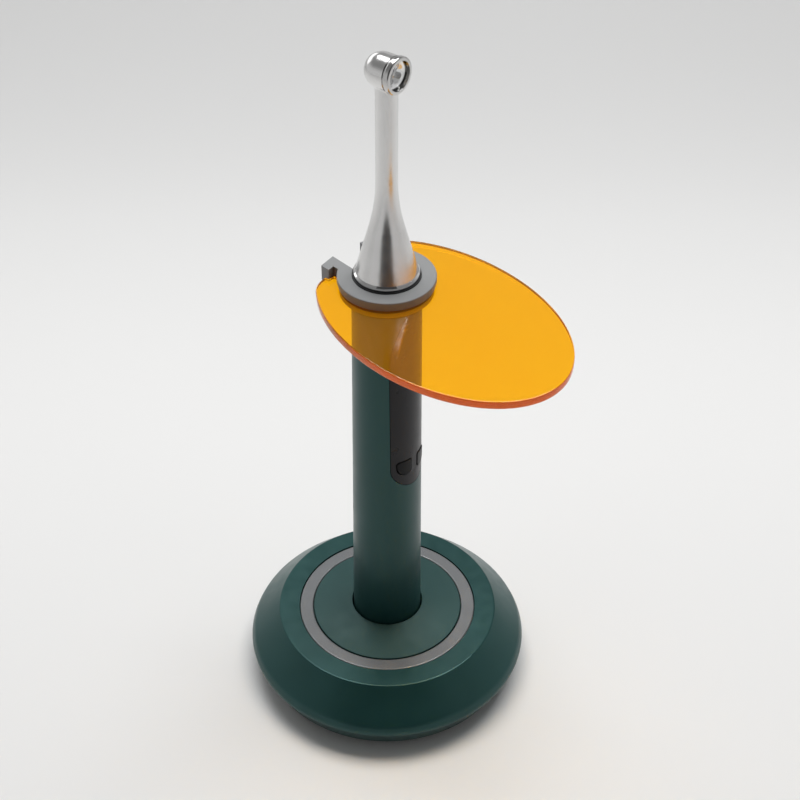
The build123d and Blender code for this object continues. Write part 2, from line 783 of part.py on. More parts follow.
# Cone, neck and ball are one machined piece: a straight cone that bends into the
# slender neck, and a round-backed cup on its side that holds the lamp.
neck_top = lens_axis - ball_radius / 2
front_face = Plane.XZ.offset(ball_front)
cavity_radius = cone_foot_radius - cone_wall
channel_radius = lead_radius + slide_gap * 2
with BuildPart() as head_shell:
    with BuildSketch(Plane.XZ) as neck_section:
        with BuildLine():
            Polyline(
                (0, cone_foot),
                (cone_foot_radius, cone_foot),
                (neck_radius, cone_foot + cone_height),
                (neck_radius, neck_top),
                (0, neck_top),
                close=True,
            )
        make_face()
        bend = neck_section.vertices().sort_by_distance((neck_radius, cone_foot + cone_height))[0]
        fillet(bend, neck_bend_radius)
    revolve(axis=Axis.Z)
    with BuildSketch(Plane.YZ) as ball_section:
        with BuildLine():
            rear = (ball_setback + ball_radius, lens_axis)
            crown = (ball_setback, lens_axis + ball_radius)
            shoulder = (
                ball_setback + ball_radius * math.sqrt(0.5),
                lens_axis + ball_radius * math.sqrt(0.5),
            )
            Line((-ball_front, lens_axis), rear)
            ThreePointArc(rear, shoulder, crown)
            Line(crown, (-ball_front, lens_axis + ball_radius))
            Line((-ball_front, lens_axis + ball_radius), (-ball_front, lens_axis))
        make_face()
    revolve(axis=Axis((0, 0, lens_axis), (0, 1, 0)))
    under_ball = head_shell.edges().filter_by_position(
        Axis.Z, lens_axis - ball_radius - neck_radius, lens_axis - neck_radius
    )
    fillet(under_ball, neck_blend)
    with BuildSketch(front_face):
        with Locations((0, lens_axis)):
            Circle(bezel_radius + turn_gap)
    extrude(amount=bezel_front, mode=Mode.SUBTRACT)
    with BuildSketch(front_face):
        with Locations((0, lens_axis)):
            Circle(head_bore_radius)
    extrude(amount=-ball_front - head_bore_back, mode=Mode.SUBTRACT)
    turned(
        [
            (0, cone_foot),
            (cavity_radius, cone_foot),
            (channel_radius, cone_foot + cone_height),
            (channel_radius, lens_axis - head_bore_radius),
            (0, lens_axis),
        ],
        mode=Mode.SUBTRACT,
    )
head_shell.part.label = "head_shell"
export_step(head_shell.part, "parts/head_shell.step")

with BuildPart() as head_bead:
    ring(head_foot, cone_foot, bead_radius, bead_bore)
    chamfer(head_bead.edges().group_by(Axis.Z)[-1].sort_by(SortBy.RADIUS)[-1], bead_chamfer)
head_bead.part.label = "head_bead"
export_step(head_bead.part, "parts/head_bead.step")

plug_flange_top = head_foot + plug_flange_height
with BuildPart() as head_plug:
    ring(head_foot, plug_flange_top, bead_bore - fit_gap)
    ring(spindle_foot, head_foot, spindle_radius)
    ring(jack_foot, spindle_foot, jack_radius)
    fillet(head_plug.edges().group_by(Axis.Z)[0], jack_radius / 2)
head_plug.part.label = "head_plug"
export_step(head_plug.part, "parts/head_plug.step")

with BuildPart() as neck_lead:
    ring(plug_flange_top, lens_axis - head_bore_radius - turn_gap, lead_radius)
neck_lead.part.label = "neck_lead"
export_step(neck_lead.part, "parts/neck_lead.step")

# The bezel is a polished flange on a groove, with a sleeve that pushes into the ball.
lens_back = bezel_front - lens_sink - lens_rim - lens_dome
sleeve_back = lens_back - reflector_depth - slide_gap
with BuildPart() as lens_bezel:
    with BuildSketch(Plane.XZ.offset(bezel_front - bezel_flange)):
        with Locations((0, lens_axis)):
            Circle(bezel_radius)
    extrude(amount=bezel_flange)
    fillet(lens_bezel.edges(), bezel_round)
    with BuildSketch(Plane.XZ.offset(ball_front)):
        with Locations((0, lens_axis)):
            Circle(bezel_groove_radius)
    extrude(amount=bezel_front - bezel_flange / 2 - ball_front)
    with BuildSketch(Plane.XZ.offset(sleeve_back)):
        with Locations((0, lens_axis)):
            Circle(head_bore_radius - fit_gap)
    extrude(amount=ball_front - sleeve_back)
    with BuildSketch(Plane.XZ.offset(lens_back)):
        with Locations((0, lens_axis)):
            Circle(lens_radius + fit_gap)
    extrude(amount=bezel_front, mode=Mode.SUBTRACT)
    with BuildSketch(Plane.XZ.offset(sleeve_back)):
        with Locations((0, lens_axis)):
            Circle(reflector_mouth_radius + reflector_wall + fit_gap)
    extrude(amount=bezel_front, mode=Mode.SUBTRACT)
lens_bezel.part.label = "lens_bezel"
export_step(lens_bezel.part, "parts/lens_bezel.step")

lens_section = Plane((0, 0, lens_axis), x_dir=(1, 0, 0), z_dir=(0, 0, 1))
lens_axis_line = Axis((0, 0, lens_axis), (0, 1, 0))
lens_front = lens_back + lens_rim + lens_dome
dome_radius = (lens_radius**2 + lens_dome**2) / (2 * lens_dome)
with BuildPart() as lens:
    with BuildSketch(Plane.XZ.offset(lens_back)):
        with Locations((0, lens_axis)):
            Circle(lens_radius)
    extrude(amount=lens_rim + lens_dome)
    with Locations((0, dome_radius - lens_front, lens_axis)):
        Sphere(dome_radius, mode=Mode.INTERSECT)
lens.part.label = "lens"
export_step(lens.part, "parts/lens.step")

reflector_front = lens_back - fit_gap
reflector_back = reflector_front - reflector_depth
bowl_bulge = (reflector_mouth_radius - reflector_throat_radius) / 4
with BuildPart() as reflector:
    with BuildSketch(lens_section):
        with BuildLine():
            mouth = (reflector_mouth_radius, -reflector_front)
            throat = (reflector_throat_radius, -reflector_back)
            SagittaArc(throat, mouth, -bowl_bulge)
            Polyline(
                mouth,
                (reflector_mouth_radius + reflector_wall, -reflector_front),
                (reflector_mouth_radius + reflector_wall, -reflector_back),
                throat,
            )
        make_face()
    revolve(axis=lens_axis_line)
reflector.part.label = "reflector"
export_step(reflector.part, "parts/reflector.step")

led_board_front = -head_bore_back + fit_gap + led_board_height
with BuildPart() as led_board:
    with BuildSketch(Plane.XZ.offset(led_board_front - led_board_height)):
        with Locations((0, lens_axis)):
            Circle(head_bore_radius - 2 * fit_gap)
    extrude(amount=led_board_height)
led_board.part.label = "led_board"
export_step(led_board.part, "parts/led_board.step")

with BuildPart() as led_emitter:
    with BuildSketch(Plane.XZ.offset(led_board_front)):
        with Locations((0, lens_axis)):
            Rectangle(led_size, led_size)
    extrude(amount=led_height)
led_emitter.part.label = "led_emitter"
export_step(led_emitter.part, "parts/led_emitter.step")

# Filter

# The plate is an oval cut off behind the nose. Its bore takes the clip ring's core, and
# a stepped slot from the rear edge lets the clip's tabs and their hooks through.
hook_rise = math.tan(math.radians(tab_slant))
hook_foot = tab_notch - hook_rise * (tab_outer - tab_waist)
with BuildPart() as shield_plate:
    with BuildSketch(shield_plane.offset(shield_foot)) as plate_outline:
        with Locations((shield_shift, -shield_reach)):
            Ellipse(shield_half_width, shield_half_length, rotation=shield_twist)
        with Locations((0, shield_back)):
            Rectangle(
                2 * shield_half_width,
                shield_half_length,
                align=(Align.CENTER, Align.MIN),
                mode=Mode.SUBTRACT,
            )
        rear_corners = plate_outline.vertices().filter_by_position(
            Axis.Y, shield_back - fit_gap, shield_back + fit_gap
        )
        fillet(rear_corners, shield_corner_round)
        Circle(shield_bore_radius, mode=Mode.SUBTRACT)
        for half, foot in ((tab_waist + slot_gap, 0), (tab_outer + slot_gap, hook_foot - hook_gap)):
            with Locations((0, foot)):
                Rectangle(
                    2 * half, shield_half_length, align=(Align.CENTER, Align.MIN), mode=Mode.SUBTRACT
                )
        slot_tips = [(tab_waist + slot_gap, hook_foot - hook_gap), (tab_outer + slot_gap, shield_back)]
        for half, foot in slot_tips:
            for side in (-1, 1):
                tip = plate_outline.vertices().sort_by_distance((side * half, foot))[0]
                fillet(tip, slot_corner_round)
    extrude(amount=shield_thickness)
    fillet(shield_plate.edges().group_by(Axis.Z)[-1], shield_edge_round)
    fillet(shield_plate.edges().group_by(Axis.Z)[0], shield_edge_round)
shield_plate.part.label = "shield_plate"
export_step(shield_plate.part, "parts/shield_plate.step")

# The clip ring grips the plate between two flanges, is split at the rear, and has a
# hooked finger tab on each side of the split.
ring_top = shield_top + ring_top_height
tab_corners = [
    (tab_inner, ring_bore),
    (tab_inner, tab_end),
    (tab_outer, tab_end - hook_rise * (tab_outer - tab_inner)),
    (tab_outer, hook_foot),
    (tab_waist, tab_notch),
    (tab_waist, ring_bore),
]
with BuildPart() as clip_ring:
    with BuildSketch(shield_plane.offset(ring_foot)):
        Circle(ring_base_radius)
    extrude(amount=ring_base_height)
    with BuildSketch(shield_plane.offset(shield_foot)):
        Circle(ring_bore + ring_core_wall)
    extrude(amount=shield_thickness)
    with BuildSketch(shield_plane.offset(shield_top)):
        Circle(ring_step_radius)
    extrude(amount=ring_step_height)
    with BuildSketch(shield_plane.offset(shield_top + ring_step_height)):
        Circle(ring_radius)
    extrude(amount=ring_top_height - ring_step_height)
    fillet(clip_ring.edges().group_by(Axis.Z)[-1], ring_round)
    with BuildSketch(shield_plane.offset(ring_top - tab_height)):
        for side in (-1, 1):
            with BuildLine():
                Polyline(*[(side * x, y) for x, y in tab_corners], close=True)
            make_face()
    extrude(amount=tab_height)
    with BuildSketch(shield_plane.offset(ring_foot)):
        Circle(ring_bore)
        Rectangle(2 * tab_inner, 2 * tab_end, align=(Align.CENTER, Align.MIN))
    extrude(amount=ring_top - ring_foot, mode=Mode.SUBTRACT)
clip_ring.part.label = "clip_ring"
export_step(clip_ring.part, "parts/clip_ring.step")
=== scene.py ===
from math import cos, radians, sin

import bmesh
import bpy
from mathutils import Matrix, Vector


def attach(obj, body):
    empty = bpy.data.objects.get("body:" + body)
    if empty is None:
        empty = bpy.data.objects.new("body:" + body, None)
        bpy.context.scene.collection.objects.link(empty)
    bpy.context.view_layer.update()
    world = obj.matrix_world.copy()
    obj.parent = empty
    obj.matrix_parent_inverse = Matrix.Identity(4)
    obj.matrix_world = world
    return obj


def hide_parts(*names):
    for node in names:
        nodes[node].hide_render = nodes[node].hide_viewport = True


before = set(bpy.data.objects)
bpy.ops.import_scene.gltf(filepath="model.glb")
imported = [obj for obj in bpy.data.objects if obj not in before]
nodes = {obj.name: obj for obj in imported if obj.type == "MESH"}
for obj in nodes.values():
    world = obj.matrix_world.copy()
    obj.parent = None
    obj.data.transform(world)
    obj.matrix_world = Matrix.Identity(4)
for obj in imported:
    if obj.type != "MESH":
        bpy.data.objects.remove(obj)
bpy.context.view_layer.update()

# The camera: on the front left of the light and well above it, looking down along
# the handle with a long lens, and tilted by a third of a degree as the picture is.
view_turn = radians(-52)
view_down = radians(39.61)
view_roll = radians(-0.333)
view_lens = 68.85
view_sensor = 36
view_place = Vector((-0.3079, -0.2461, 0.4501))

upright = Vector((0, 0, 1))
sideways = Vector((cos(view_turn), sin(view_turn), 0))
away = Vector((-sin(view_turn), cos(view_turn), 0))
looking = away * cos(view_down) - upright * sin(view_down)
over = sideways.cross(looking)
camera_right = sideways * cos(view_roll) - over * sin(view_roll)
camera_up = sideways * sin(view_roll) + over * cos(view_roll)
camera_data = bpy.data.cameras.new("camera")
camera_data.lens = view_lens
camera_data.sensor_width = view_sensor
camera = bpy.data.objects.new("camera", camera_data)
axes = Matrix((camera_right, camera_up, -looking)).transposed()
camera.matrix_world = Matrix.Translation(view_place) @ axes.to_4x4()
bpy.context.scene.collection.objects.link(camera)
bpy.context.scene.camera = camera
bpy.context.scene.view_settings.view_transform = "Standard"

# The studio table: a sheet of pale paper under the light that sweeps up behind it, with
# painted shade that greys it further back. It ends in front where the metal mirrors the room.
sheet_front = -0.42
sheet_bend = 0.30
sheet_bend_radius = 0.34
sheet_bend_angle = radians(78)
sheet_bend_steps = 32
sheet_crease = 60
sheet_wall = 0.04
sheet_half_width = 1.0
sheet_tone = (0.800, 0.798, 0.792)
sheet_far_painted_shade = (0.600, 0.600, 0.598)
painted_shade_start = 0.10
painted_shade_end = 0.50
pattern_low = 0.3
pattern_high = 0.7


def new_finish(name, colour, roughness, metal=0.0):
    """A finish with its plain colour, its roughness and its share of metal."""
    finish = bpy.data.materials.new(name)
    finish.use_nodes = True
    shader = finish.node_tree.nodes["Principled BSDF"]
    shader.inputs["Base Color"].default_value = (*colour, 1)
    shader.inputs["Roughness"].default_value = roughness
    shader.inputs["Metallic"].default_value = metal
    return finish


def speckle(finish, grain, detail=3.0, stretch=(1, 1, 1)):
    """An uneven pattern through the piece, with that size of grain in metres."""
    tree = finish.node_tree
    place = tree.nodes.new("ShaderNodeTexCoord")
    turn = tree.nodes.new("ShaderNodeMapping")
    noise = tree.nodes.new("ShaderNodeTexNoise")
    turn.inputs["Scale"].default_value = stretch
    noise.inputs["Scale"].default_value = 1 / grain
    noise.inputs["Detail"].default_value = detail
    tree.links.new(place.outputs["Object"], turn.inputs["Vector"])
    tree.links.new(turn.outputs["Vector"], noise.inputs["Vector"])
    return noise.outputs["Fac"]


def between(finish, pattern, low, high):
    """The pattern as a value that runs from low to high."""
    band = finish.node_tree.nodes.new("ShaderNodeMapRange")
    band.inputs["From Min"].default_value = pattern_low
    band.inputs["From Max"].default_value = pattern_high
    band.inputs["To Min"].default_value = low
    band.inputs["To Max"].default_value = high
    finish.node_tree.links.new(pattern, band.inputs["Value"])
    return band.outputs["Result"]


def vary_colour(finish, pattern, dark, light):
    """The colour wanders between two close shades."""
    tree = finish.node_tree
    blend = tree.nodes.new("ShaderNodeMix")
    blend.data_type = "RGBA"
    blend.inputs["A"].default_value = (*dark, 1)
    blend.inputs["B"].default_value = (*light, 1)
    tree.links.new(between(finish, pattern, 0, 1), blend.inputs["Factor"])
    tree.links.new(blend.outputs["Result"], tree.nodes["Principled BSDF"].inputs["Base Color"])


def vary_roughness(finish, pattern, low, high):
    """The surface is a little smoother in some places than in others."""
    tree = finish.node_tree
    roughness = tree.nodes["Principled BSDF"].inputs["Roughness"]
    tree.links.new(between(finish, pattern, low, high), roughness)


def raise_grain(finish, pattern, height):
    """The pattern stands proud of the surface by that height in metres."""
    tree = finish.node_tree
    bump = tree.nodes.new("ShaderNodeBump")
    bump.inputs["Distance"].default_value = height
    tree.links.new(pattern, bump.inputs["Height"])
    tree.links.new(bump.outputs["Normal"], tree.nodes["Principled BSDF"].inputs["Normal"])


def put_in_scene(name, shape, finish, crease=35):
    """The bmesh becomes an object at the origin, smooth apart from its creases."""
    mesh = bpy.data.meshes.new(name)
    shape.to_mesh(mesh)
    shape.free()
    mesh.materials.append(finish)
    mesh.shade_smooth()
    mesh.set_sharp_from_angle(angle=radians(crease))
    thing = bpy.data.objects.new(name, mesh)
    bpy.context.scene.collection.objects.link(thing)
    return thing


paper = new_finish("pale_paper", sheet_tone, 0.8)
tree = paper.node_tree
along = tree.nodes.new("ShaderNodeMapping")
along.inputs["Rotation"].default_value = (0, 0, -view_turn)
tree.links.new(tree.nodes.new("ShaderNodeTexCoord").outputs["Object"], along.inputs["Vector"])
along_axes = tree.nodes.new("ShaderNodeSeparateXYZ")
tree.links.new(along.outputs["Vector"], along_axes.inputs["Vector"])
# Painted shade: the paper's colour greys towards a darker tone further behind the light.
painted_shade_ramp = tree.nodes.new("ShaderNodeMapRange")
painted_shade_ramp.interpolation_type = "SMOOTHSTEP"
painted_shade_ramp.inputs["From Min"].default_value = painted_shade_start
painted_shade_ramp.inputs["From Max"].default_value = painted_shade_end
tree.links.new(along_axes.outputs["Y"], painted_shade_ramp.inputs["Value"])
painted_shade_mix = tree.nodes.new("ShaderNodeMix")
painted_shade_mix.data_type = "RGBA"
painted_shade_mix.inputs["A"].default_value = (*sheet_tone, 1)
painted_shade_mix.inputs["B"].default_value = (*sheet_far_painted_shade, 1)
tree.links.new(painted_shade_ramp.outputs["Result"], painted_shade_mix.inputs["Factor"])
tree.links.new(painted_shade_mix.outputs["Result"], tree.nodes["Principled BSDF"].inputs["Base Color"])
vary_roughness(paper, speckle(paper, 0.30, 2), 0.75, 0.85)
raise_grain(paper, speckle(paper, 0.0006), 0.00001)

bend_middle = Vector((0, sheet_bend, sheet_bend_radius))
shape = bmesh.new()
low_edge = shape.verts.new((0, sheet_front, 0))
bend_foot = shape.verts.new((0, sheet_bend, 0))
shape.edges.new((low_edge, bend_foot))
spun = bmesh.ops.spin(
    shape,
    geom=[bend_foot],
    cent=bend_middle,
    axis=(1, 0, 0),
    angle=sheet_bend_angle,
    steps=sheet_bend_steps,
)
bend_top = [v for v in spun["geom_last"] if isinstance(v, bmesh.types.BMVert)][0]
up_the_wall = Vector((0, cos(sheet_bend_angle), sin(sheet_bend_angle)))
wall_top = shape.verts.new(bend_top.co + up_the_wall * sheet_wall)
shape.edges.new((bend_top, wall_top))
bmesh.ops.translate(shape, verts=shape.verts, vec=(-sheet_half_width, 0, 0))
swept = bmesh.ops.extrude_edge_only(shape, edges=shape.edges[:])
far_side = [v for v in swept["geom"] if isinstance(v, bmesh.types.BMVert)]
bmesh.ops.translate(shape, verts=far_side, vec=(2 * sheet_half_width, 0, 0))
bmesh.ops.rotate(shape, verts=shape.verts, matrix=Matrix.Rotation(view_turn, 3, "Z"))
bmesh.ops.recalc_face_normals(shape, faces=shape.faces)
sheet = put_in_scene("paper_sheet", shape, paper, crease=sheet_crease)

# The studio lamps: a large soft box above and behind the light, which throws its soft
# shadow forwards, and a faint one low on the left that the ball and the base mirror.
lamp_aim = Vector((0, 0, 0.08))


def soft_box(name, turn, rise, distance, width, depth, power):
    """A lamp that faces the object; turn 0 is straight behind it, seen by the camera."""
    data = bpy.data.lights.new(name, "AREA")
    data.shape = "RECTANGLE"
    data.size = width
    data.size_y = depth
    data.energy = power
    way = away * cos(radians(turn)) + sideways * sin(radians(turn))
    way = way * cos(radians(rise)) + upright * sin(radians(rise))
    facing = way.to_track_quat("Z", "Y").to_matrix().to_4x4()
    lamp = bpy.data.objects.new(name, data)
    lamp.matrix_world = Matrix.Translation(lamp_aim + way * distance) @ facing
    lamp.visible_camera = False
    bpy.context.scene.collection.objects.link(lamp)


soft_box("back_box", turn=14, rise=73, distance=1.3, width=1.2, depth=0.65, power=17)
soft_box("left_box", turn=-38, rise=20, distance=1.4, width=1.1, depth=0.8, power=3.4)

# The photographer's flag: a round black cloth in front of the table, behind the camera,
# which keeps light off the front. The metal mirrors it as a dark stripe.
flag_rise = radians(30)
flag_distance = 1.5
flag_radius = 1.17
flag_sides = 64

flag_cloth = new_finish("flag_cloth", (0.05, 0.05, 0.05), 0.9)
vary_colour(flag_cloth, speckle(flag_cloth, 0.05), (0.045, 0.045, 0.045), (0.055, 0.055, 0.055))
vary_roughness(flag_cloth, speckle(flag_cloth, 0.02), 0.85, 0.95)
raise_grain(flag_cloth, speckle(flag_cloth, 0.002), 0.0001)
flag_way = upright * sin(flag_rise) - away * cos(flag_rise)
shape = bmesh.new()
bmesh.ops.create_circle(shape, cap_ends=True, segments=flag_sides, radius=flag_radius)
bmesh.ops.translate(shape, verts=shape.verts, vec=(0, 0, flag_distance))
bmesh.ops.rotate(shape, verts=shape.verts, matrix=flag_way.to_track_quat("Z", "Y").to_matrix())
flag = put_in_scene("black_flag", shape, flag_cloth)
flag.visible_camera = False

# The room round the table: pale walls near the table's height that grow dimmer upwards.
wall_tone = 0.62
dome_tone = 0.24
wall_top_rise = radians(8)
dome_rise = radians(38)

room = bpy.data.worlds.new("room")
room.use_nodes = True
bpy.context.scene.world = room
tree = room.node_tree
direction = tree.nodes.new("ShaderNodeTexCoord").outputs["Generated"]
split = tree.nodes.new("ShaderNodeSeparateXYZ")
tree.links.new(direction, split.inputs["Vector"])
height_tone = tree.nodes.new("ShaderNodeMapRange")
height_tone.interpolation_type = "SMOOTHSTEP"
height_tone.inputs["From Min"].default_value = sin(wall_top_rise)
height_tone.inputs["From Max"].default_value = sin(dome_rise)
height_tone.inputs["To Min"].default_value = wall_tone
height_tone.inputs["To Max"].default_value = dome_tone
tree.links.new(split.outputs["Z"], height_tone.inputs["Value"])
background = tree.nodes["Background"]
background.inputs["Color"].default_value = (1, 1, 1, 1)
tree.links.new(height_tone.outputs["Result"], background.inputs["Strength"])

# Rubber foot: a flat pad of black rubber, glued under the floor plate, with fine rings
# moulded into it so that it doesn't slide.
rubber_black = (0.012, 0.012, 0.013)
rubber_worn = (0.021, 0.021, 0.021)
foot_ring_pitch = 0.0016
foot_ring_depth = 0.0002
ring_gap_at_scale_one = 0.314


def dress(node, finish):
    """The CAD piece takes that finish."""
    nodes[node].data.materials.clear()
    nodes[node].data.materials.append(finish)


def rings_round(finish, pitch, shift=(0, 0, 0), lean=(0, 0, 0), waver=0.0):
    """Even rings round the piece's own axis, which shift and lean bring onto Z."""
    tree = finish.node_tree
    place = tree.nodes.new("ShaderNodeTexCoord")
    turn = tree.nodes.new("ShaderNodeMapping")
    wave = tree.nodes.new("ShaderNodeTexWave")
    turn.inputs["Location"].default_value = shift
    turn.inputs["Rotation"].default_value = lean
    wave.wave_type = "RINGS"
    wave.rings_direction = "Z"
    wave.inputs["Scale"].default_value = ring_gap_at_scale_one / pitch
    wave.inputs["Distortion"].default_value = waver
    tree.links.new(place.outputs["Object"], turn.inputs["Vector"])
    tree.links.new(turn.outputs["Vector"], wave.inputs["Vector"])
    return wave.outputs["Fac"]


rubber = new_finish("black_rubber", rubber_black, 0.8)
vary_colour(rubber, speckle(rubber, 0.004, 4), rubber_black, rubber_worn)
vary_roughness(rubber, speckle(rubber, 0.0015), 0.72, 0.88)
raise_grain(rubber, rings_round(rubber, foot_ring_pitch), foot_ring_depth)
dress("rubber_foot", rubber)

# Floor plate and its four screws: a plate of black plastic with a spark-eroded grain,
# held up into the cover's posts by countersunk steel screws.
plate_black = (0.016, 0.016, 0.017)
screw_steel = (0.46, 0.46, 0.47)

moulded_black = new_finish("moulded_black", plate_black, 0.55)
vary_colour(moulded_black, speckle(moulded_black, 0.006), plate_black, (0.020, 0.020, 0.021))
vary_roughness(moulded_black, speckle(moulded_black, 0.002), 0.48, 0.62)
raise_grain(moulded_black, speckle(moulded_black, 0.0004, 2), 0.000012)
dress("base_plate", moulded_black)

steel = new_finish("plain_steel", screw_steel, 0.32, 1)
vary_colour(steel, speckle(steel, 0.003), (0.40, 0.40, 0.41), (0.50, 0.50, 0.50))
vary_roughness(steel, speckle(steel, 0.0012, 4), 0.25, 0.42)
raise_grain(steel, speckle(steel, 0.0003), 0.000004)
dress("base_screws", steel)

# Weight: a ring of zinc-plated steel, cast and left rough, that lies on the floor
# plate so that the tall handset can't tip the base.
plated_steel = new_finish("plated_steel", (0.36, 0.35, 0.33), 0.5, 1)
vary_colour(plated_steel, speckle(plated_steel, 0.007, 5), (0.26, 0.25, 0.23), (0.42, 0.41, 0.39))
vary_roughness(plated_steel, speckle(plated_steel, 0.003, 5), 0.38, 0.65)
raise_grain(plated_steel, speckle(plated_steel, 0.0012, 5), 0.00006)
dress("ballast_ring", plated_steel)

# Charging board and the handset's board: fibreglass with a green solder mask, over
# copper tracks that show as slightly raised lines.
mask_green = (0.008, 0.060, 0.028)
mask_over_copper = (0.018, 0.105, 0.045)
track_pitch = 0.0022
track_height = 0.00003

circuit_board = new_finish("circuit_board", mask_green, 0.3)
tree = circuit_board.node_tree
track_place = tree.nodes.new("ShaderNodeTexCoord")
tracks = tree.nodes.new("ShaderNodeTexVoronoi")
tracks.distance = "MANHATTAN"
tracks.inputs["Scale"].default_value = 1 / track_pitch
tree.links.new(track_place.outputs["Object"], tracks.inputs["Vector"])
vary_colour(circuit_board, tracks.outputs["Distance"], mask_over_copper, mask_green)
vary_roughness(circuit_board, speckle(circuit_board, 0.002), 0.22, 0.4)
raise_grain(circuit_board, between(circuit_board, tracks.outputs["Distance"], 1, 0), track_height)
dress("charge_board", circuit_board)

# Charging pins and their housing: two sprung pins, turned from brass and gilded, in a
# block of black plastic that stands up through the socket's floor.
gilt = (0.83, 0.55, 0.20)

gold = new_finish("gilded_brass", gilt, 0.2, 1)
vary_colour(gold, speckle(gold, 0.001), (0.78, 0.50, 0.17), (0.88, 0.60, 0.24))
vary_roughness(gold, speckle(gold, 0.0006, 4), 0.14, 0.3)
raise_grain(gold, speckle(gold, 0.0002), 0.000003)
dress("charge_pin_left", gold)
dress("charge_pin_right", gold)
dress("pin_housing", moulded_black)

# Base cover: one hollow moulding in dark green, with a satin skin like that of the
# aluminium handle. It has a leaning skirt, a rounded shoulder and a long slope.
shell_green = (0.016, 0.062, 0.060)
shell_green_dark = (0.014, 0.056, 0.054)
shell_green_light = (0.018, 0.068, 0.066)
skin_gloss = 0.4


def set_gloss(finish, gloss):
    """How strongly the surface mirrors the room, where 0.5 is bare plastic."""
    finish.node_tree.nodes["Principled BSDF"].inputs["Specular IOR Level"].default_value = gloss


satin_green = new_finish("satin_green", shell_green, 0.32, 0.45)
set_gloss(satin_green, skin_gloss)
vary_colour(satin_green, speckle(satin_green, 0.025, 2), shell_green_dark, shell_green_light)
vary_roughness(satin_green, speckle(satin_green, 0.004, 4), 0.28, 0.36)
raise_grain(satin_green, speckle(satin_green, 0.00035, 2), 0.000004)
dress("base_cover", satin_green)

# Socket: the disc inside the silver ring and the cup below it, moulded in one piece, with a
# finer grain that a hand's touch has polished a little. Its green is the cover's, darkened as painted
# shade.
# Painted shade: the cover's green made a little darker for the handle's shadow on the disc.
cup_shaded_green = (0.0150, 0.0560, 0.0540)
cup_shaded_green_dark = (0.0138, 0.0525, 0.0505)
cup_shaded_green_light = (0.0162, 0.0595, 0.0575)

cup_green = new_finish("socket_green", cup_shaded_green, 0.50, 0.3)
set_gloss(cup_green, skin_gloss)
vary_colour(cup_green, speckle(cup_green, 0.018, 2), cup_shaded_green_dark, cup_shaded_green_light)
vary_roughness(cup_green, speckle(cup_green, 0.006, 4), 0.46, 0.54)
raise_grain(cup_green, speckle(cup_green, 0.0003, 2), 0.000004)
dress("socket_cup", cup_green)

# Trim ring: turned from aluminium, its top face brushed round and round, anodised a
# frosted grey, and pressed into the groove between the cover and the disc.
trim_silver = (0.176, 0.184, 0.192)
brush_pitch = 0.00022

brushed_silver = new_finish("brushed_silver", trim_silver, 0.30, 0.35)
brushing = rings_round(brushed_silver, brush_pitch, waver=6)
vary_colour(brushed_silver, speckle(brushed_silver, 0.006), (0.168, 0.176, 0.184), (0.184, 0.192, 0.200))
vary_roughness(brushed_silver, brushing, 0.26, 0.34)
raise_grain(brushed_silver, brushing, 0.000002)
dress("trim_ring", brushed_silver)

# Power inlet: a bent sleeve of nickel-plated steel at the back of the base, with a black
# tongue in its mouth. Six gilded strips lie on each side of the tongue.
strip_count = 6
strip_pitch = 0.00085
strip_width = 0.00045
strip_length = 0.0042
strip_height = 0.00004
strip_front = 0.0470
tongue_middle = 0.0080
tongue_half_height = 0.00035

dress("power_inlet", steel)
shape = bmesh.new()
for place in range(strip_count):
    across = (place - (strip_count - 1) / 2) * strip_pitch
    for face in (-1, 1):
        strip = bmesh.ops.create_cube(shape, size=1)["verts"]
        bmesh.ops.scale(shape, verts=strip, vec=(strip_width, strip_length, 2 * strip_height))
        middle = (across, strip_front - strip_length / 2, tongue_middle + face * tongue_half_height)
        bmesh.ops.translate(shape, verts=strip, vec=middle)
inlet_strips = put_in_scene("inlet_strips", shape, gold)
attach(inlet_strips, "base")

# Handle: a tapered aluminium tube, blasted fine and anodised dark green. Its colour
# runs a little along the tube, the way a tank of dye leaves it.
handle_satin = new_finish("anodised_green", shell_green, 0.32, 0.4)
set_gloss(handle_satin, skin_gloss)
dye_runs = speckle(handle_satin, 0.03, 2, stretch=(1, 1, 0.4))
blast_runs = speckle(handle_satin, 0.005, 4, stretch=(1, 1, 0.5))
vary_colour(handle_satin, dye_runs, shell_green_dark, shell_green_light)
vary_roughness(handle_satin, blast_runs, 0.30, 0.38)
raise_grain(handle_satin, speckle(handle_satin, 0.0003, 2), 0.000004)
dress("handle_tube", handle_satin)

# Front panel and the two buttons: moulded in smoked charcoal plastic with a fine satin
# face. The buttons stand just proud of it, in slots that read as dark lines.
panel_charcoal = (0.0098, 0.0088, 0.0112)
panel_charcoal_dark = (0.0088, 0.0078, 0.0100)
panel_charcoal_light = (0.0108, 0.0098, 0.0124)
button_charcoal = (0.0032, 0.0031, 0.0038)
panel_gloss = 0.25
button_gloss = 0.15

smoked_panel = new_finish("smoked_panel", panel_charcoal, 0.30)
set_gloss(smoked_panel, panel_gloss)
vary_colour(smoked_panel, speckle(smoked_panel, 0.02, 2), panel_charcoal_dark, panel_charcoal_light)
vary_roughness(smoked_panel, speckle(smoked_panel, 0.004, 4), 0.26, 0.34)
raise_grain(smoked_panel, speckle(smoked_panel, 0.0003, 2), 0.000003)
dress("front_panel", smoked_panel)

button_cap = new_finish("button_charcoal", button_charcoal, 0.36)
set_gloss(button_cap, button_gloss)
vary_colour(button_cap, speckle(button_cap, 0.003), (0.0028, 0.0027, 0.0034), (0.0036, 0.0035, 0.0042))
vary_roughness(button_cap, speckle(button_cap, 0.002, 4), 0.30, 0.42)
raise_grain(button_cap, speckle(button_cap, 0.00035, 2), 0.000006)
dress("power_button", button_cap)
dress("mode_button", button_cap)

